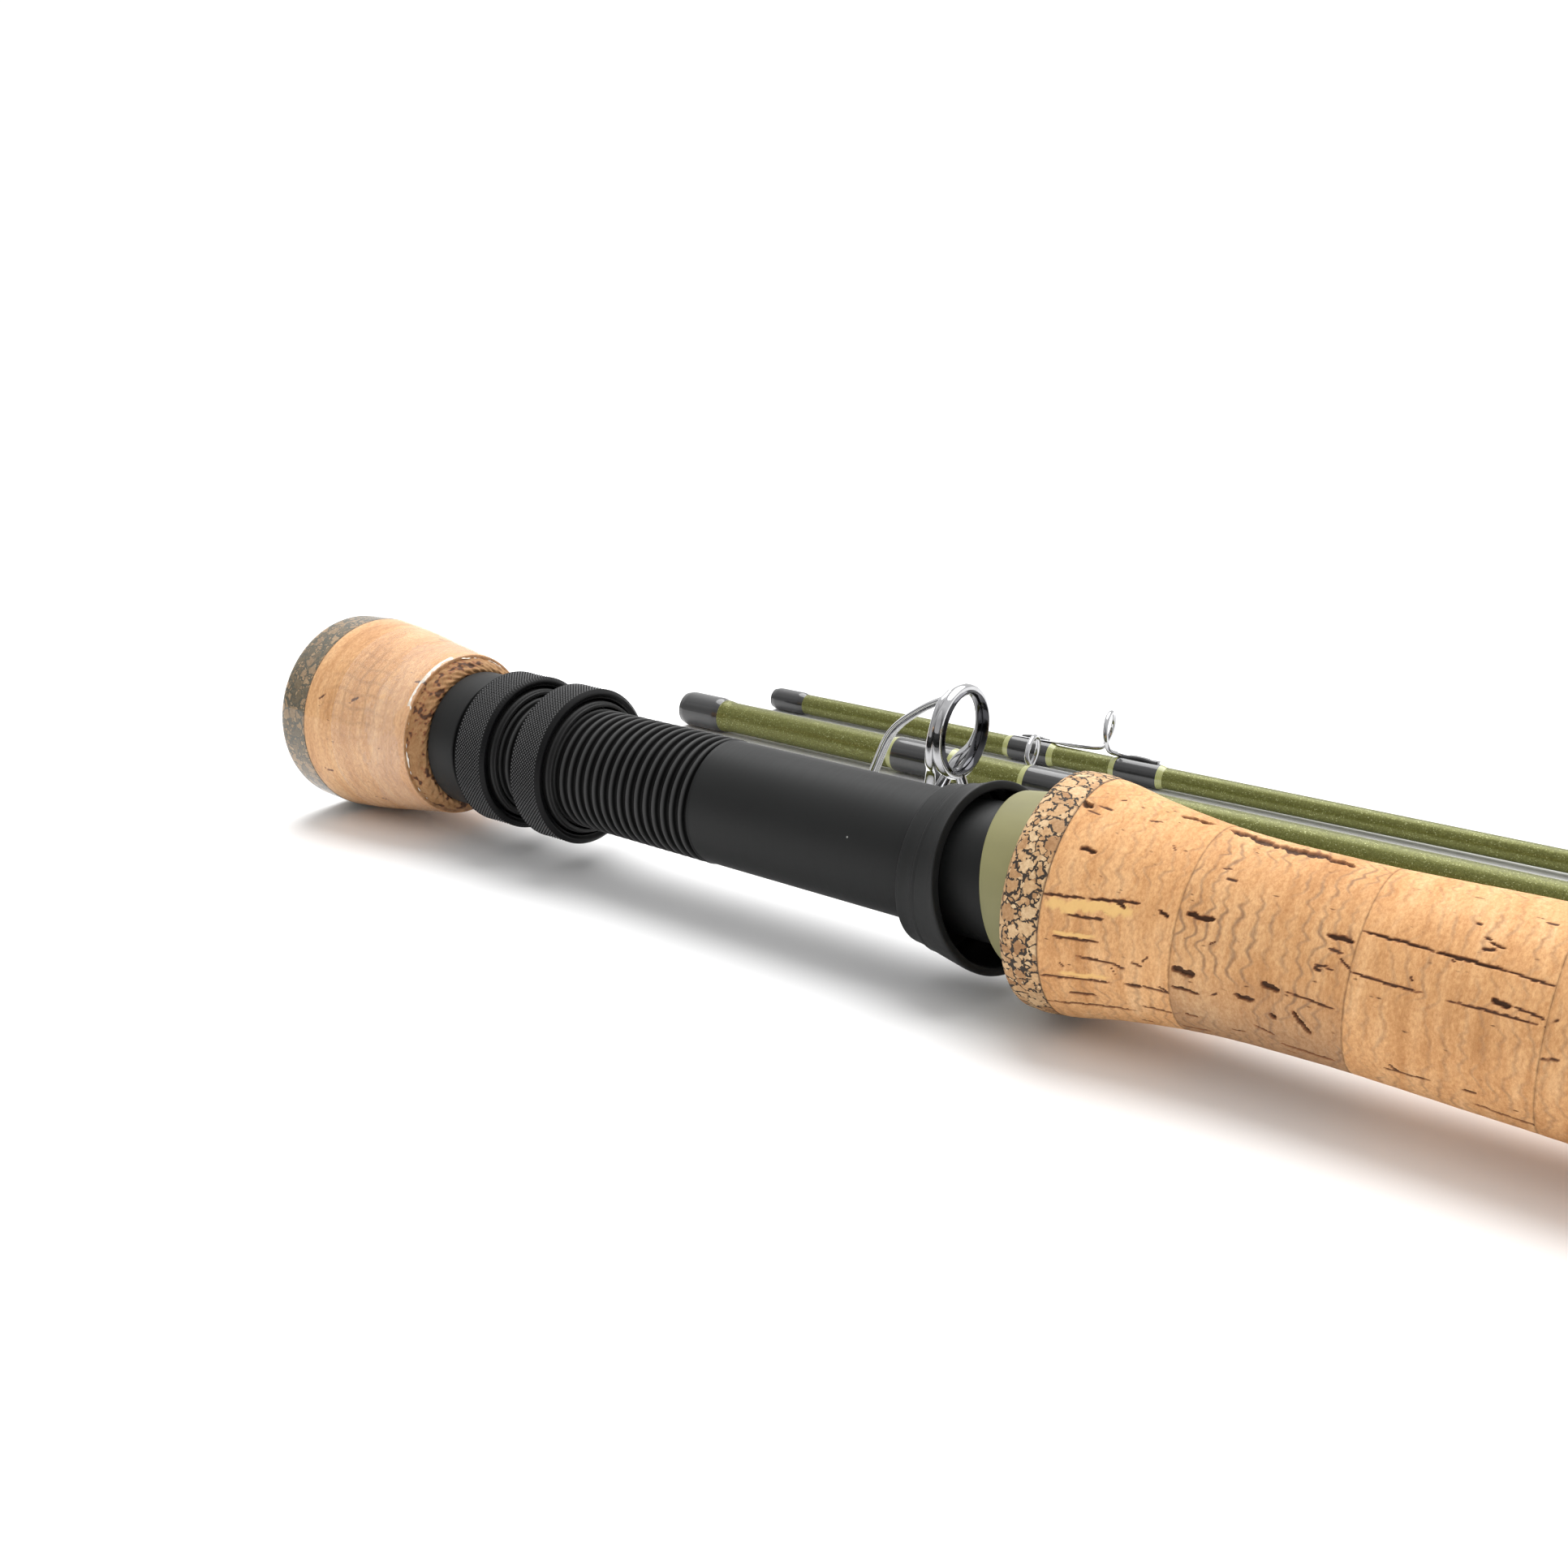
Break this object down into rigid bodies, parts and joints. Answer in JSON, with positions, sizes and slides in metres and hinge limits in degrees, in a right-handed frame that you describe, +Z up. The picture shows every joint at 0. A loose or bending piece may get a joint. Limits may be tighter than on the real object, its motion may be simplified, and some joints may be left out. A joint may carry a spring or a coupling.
{
  "type": "fly rod",
  "caption": "Fly rod taken down into a butt section with reel seat and cork grip and thinner loose sections, laid side by side.",
  "frame": {"origin": "centre of the whole row's footprint, on the surface that the sections lie on", "axes": "+X along the rod towards the tip, +Y from the butt section to the loose sections, +Z up"},
  "size_m": [0.7294, 0.1218, 0.0358],
  "materials": {
    "burl_cork": "matte",
    "cork": "matte",
    "shrink_film": "gloss",
    "black_plastic": "matte",
    "carbon_black": "satin",
    "black_anodised": "matte",
    "black_knurled": "satin",
    "nylon": "satin",
    "arbor_cork": "matte",
    "olive_matte": "matte",
    "olive_blank": "satin metallic",
    "chrome": "polished",
    "guide_ring": "polished dark",
    "black_wrap": "gloss"
  },
  "bodies": {
    "butt_section": {"butt_burl_cap": "burl_cork", "butt_cork": "cork", "butt_shrink_film": "shrink_film", "butt_end_plug": "black_plastic", "butt_spigot": "carbon_black", "rear_collar": "black_anodised", "seat_tube": "black_anodised", "seat_arbors": "arbor_cork", "fixed_hood": "olive_matte", "grip_burl_ring": "burl_cork", "grip_cork_1": "cork", "grip_cork_2": "cork", "grip_cork_3": "cork", "grip_cork_4": "cork", "grip_cork_5": "cork", "grip_cork_6": "cork", "grip_cork_7": "cork", "grip_cork_8": "cork", "winding_check": "black_anodised", "butt_blank": "olive_blank", "hook_keeper": "chrome", "hook_keeper_wraps": "black_wrap", "butt_guide_frame": "chrome", "butt_guide_ring": "guide_ring", "butt_guide_wraps": "black_wrap"},
    "rear_ring_carrier": {"rear_thrust_sleeve": "nylon"},
    "rear_ring": {"rear_lock_ring": "black_knurled"},
    "front_ring_carrier": {"front_thrust_sleeve": "nylon"},
    "front_ring": {"front_lock_ring": "black_knurled"},
    "hood": {"sliding_hood": "black_anodised"},
    "second_section": {"second_blank": "olive_blank", "second_ferrule_wrap": "black_wrap", "second_guide_frame": "chrome", "second_guide_ring": "guide_ring", "second_guide_wraps": "black_wrap", "second_snake_1": "chrome", "second_snake_2": "chrome", "second_snake_wraps": "black_wrap"},
    "third_section": {"third_blank": "olive_blank", "third_ferrule_wrap": "black_wrap", "third_snake_1": "chrome", "third_snake_2": "chrome", "third_snake_3": "chrome", "third_snake_4": "chrome", "third_snake_wraps": "black_wrap"},
    "tip_section": {"tip_blank": "olive_blank", "tip_ferrule_wrap": "black_wrap", "tip_snake_1": "chrome", "tip_snake_2": "chrome", "tip_snake_3": "chrome", "tip_snake_4": "chrome", "tip_snake_5": "chrome", "tip_snake_wraps": "black_wrap", "tip_top_tube": "chrome", "tip_top_ring": "chrome"}
  },
  "joints": [
    {"name": "rear_ring_travel", "type": "slide", "parent": "butt_section", "child": "rear_ring_carrier", "axis": [1, 0, 0], "range_m": [0, 0.0037]},
    {"name": "rear_ring_turn", "type": "hinge", "parent": "rear_ring_carrier", "child": "rear_ring", "pos_m": [-0.31835, -0.04303, 0.0179], "axis": [1, 0, 0], "range_deg": [0, 725]},
    {"name": "front_ring_travel", "type": "slide", "parent": "butt_section", "child": "front_ring_carrier", "axis": [1, 0, 0], "range_m": [0, 0.01665]},
    {"name": "front_ring_turn", "type": "hinge", "parent": "front_ring_carrier", "child": "front_ring", "pos_m": [-0.30485, -0.04303, 0.0179], "axis": [1, 0, 0], "range_deg": [0, 3250]},
    {"name": "hood_slide", "type": "slide", "parent": "butt_section", "child": "hood", "axis": [1, 0, 0], "range_m": [-0.05, 0]},
    {"name": "second_section_lift", "type": "slide", "parent": "butt_section", "child": "second_section", "axis": [0, 0, 1], "range_m": [0, 0.08]},
    {"name": "third_section_lift", "type": "slide", "parent": "butt_section", "child": "third_section", "axis": [0, 0, 1], "range_m": [0, 0.08]},
    {"name": "tip_section_lift", "type": "slide", "parent": "butt_section", "child": "tip_section", "axis": [0, 0, 1], "range_m": [0, 0.08]}
  ],
  "couplings": [
    {"joint": "rear_ring_turn", "follows": "rear_ring_travel", "rad_per_m": 3396.3},
    {"joint": "front_ring_turn", "follows": "front_ring_travel", "rad_per_m": 3396.3}
  ]
}
